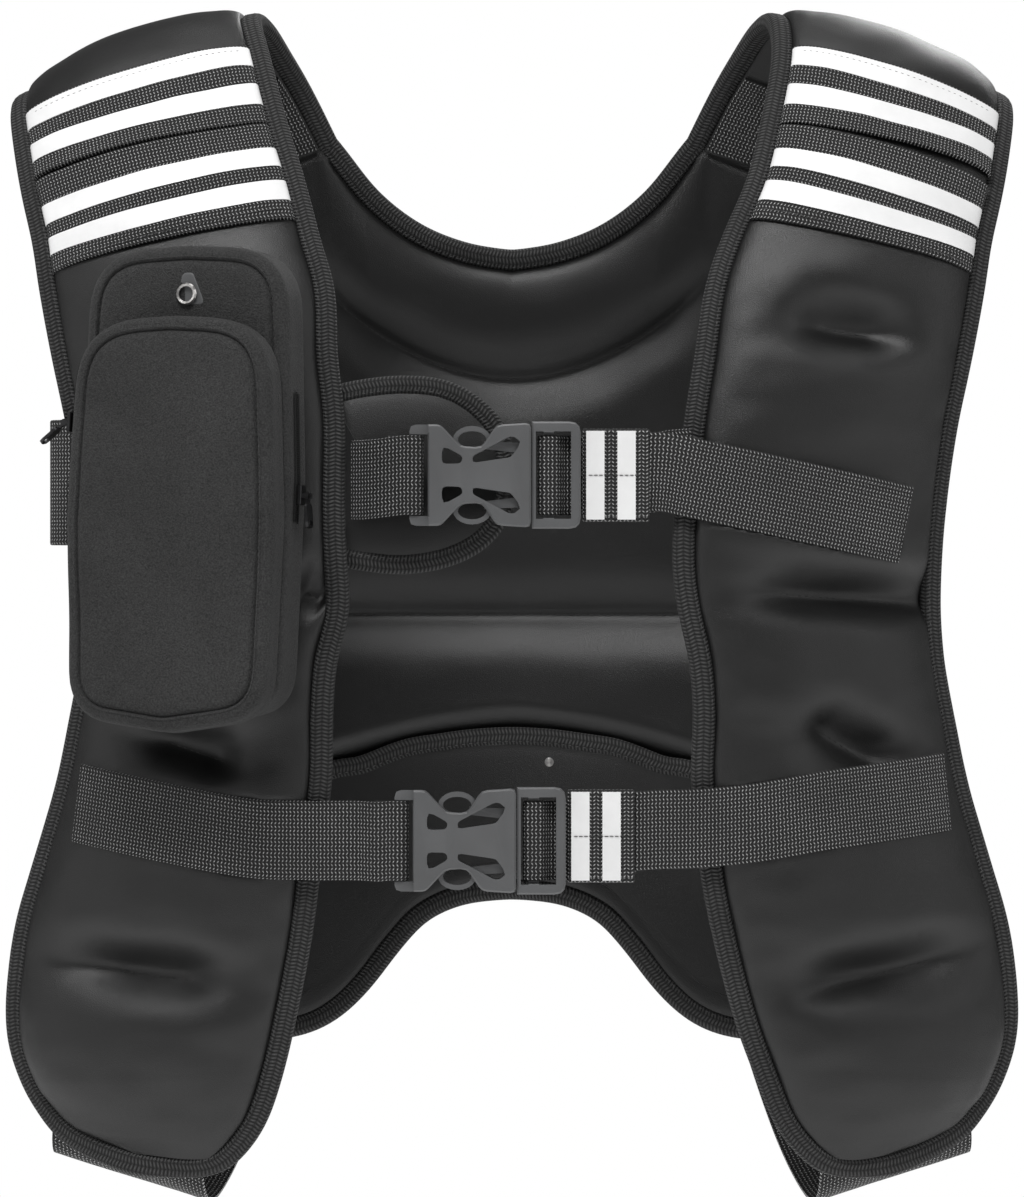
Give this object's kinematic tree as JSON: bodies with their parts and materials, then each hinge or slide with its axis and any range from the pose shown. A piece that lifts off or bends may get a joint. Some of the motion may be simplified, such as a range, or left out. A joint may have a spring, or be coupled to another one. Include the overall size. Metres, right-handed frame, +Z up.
{
  "type": "weighted vest",
  "caption": "Padded weighted vest with bound edges, two chest straps with side release buckles, reflective shoulder stripes and a zipped pouch on one front panel.",
  "frame": {"origin": "midway between the undersides of the two shoulders, where the vest rests on its wearer", "axes": "+Z up, the front of the vest faces -Y, +X towards the side without the pouch"},
  "size_m": [0.4648, 0.2567, 0.5504],
  "materials": {
    "neoprene": "matte",
    "binding": "ribbed",
    "webbing": "woven",
    "tape": "satin",
    "plastic": "satin",
    "pouch": "brushed",
    "chain": "matte",
    "metal": "satin"
  },
  "bodies": {
    "vest": {"shoulder_band_left_upper": "webbing", "shoulder_band_left_lower": "webbing", "shoulder_band_right_upper": "webbing", "shoulder_band_right_lower": "webbing", "reflective_stripe_left_1": "tape", "reflective_stripe_left_2": "tape", "reflective_stripe_left_3": "tape", "reflective_stripe_left_4": "tape", "reflective_stripe_right_1": "tape", "reflective_stripe_right_2": "tape", "reflective_stripe_right_3": "tape", "reflective_stripe_right_4": "tape", "shoulder_patch_left": "webbing", "shoulder_patch_right": "webbing", "buckle_socket_upper": "plastic", "buckle_plug_upper": "plastic", "buckle_socket_lower": "plastic", "buckle_plug_lower": "plastic", "upper_strap_left": "webbing", "upper_strap_right": "webbing", "lower_strap_left": "webbing", "lower_strap_right": "webbing", "strap_keeper_upper": "webbing", "keeper_stripe_upper_1": "tape", "keeper_stripe_upper_2": "tape", "strap_keeper_lower": "webbing", "keeper_stripe_lower_1": "tape", "keeper_stripe_lower_2": "tape", "buckle_pad": "neoprene", "buckle_pad_binding": "binding", "lumbar_flap": "neoprene", "lumbar_flap_binding": "binding", "lumbar_stud": "metal", "pouch_main": "pouch", "pouch_front": "pouch", "port_patch": "pouch", "port_ring": "metal", "pouch_band": "webbing", "zip_chain_left": "chain", "zip_slider_left": "metal", "zip_chain_right": "chain", "zip_slider_right": "metal", "side_band_left": "webbing", "side_band_right": "webbing", "front_panel_left": "neoprene", "front_panel_right": "neoprene", "back_panel": "neoprene", "binding_left_inner": "binding", "binding_left_outer": "binding", "binding_right_inner": "binding", "binding_right_outer": "binding", "binding_back_neck": "binding", "binding_back_rim": "binding"},
    "pull_left": {"zip_pull_left": "metal"},
    "pull_right": {"zip_pull_right": "metal"}
  },
  "joints": [
    {"name": "pull_left_hinge", "type": "hinge", "parent": "vest", "child": "pull_left", "pos_m": [-0.20088, -0.10885, -0.16327], "axis": [0.3497, 0.9354, -0.0523], "range_deg": [-40, 115]},
    {"name": "pull_right_hinge", "type": "hinge", "parent": "vest", "child": "pull_right", "pos_m": [-0.091, -0.13256, -0.19659], "axis": [-0.3497, -0.9354, 0.0523], "range_deg": [0, 155]}
  ]
}
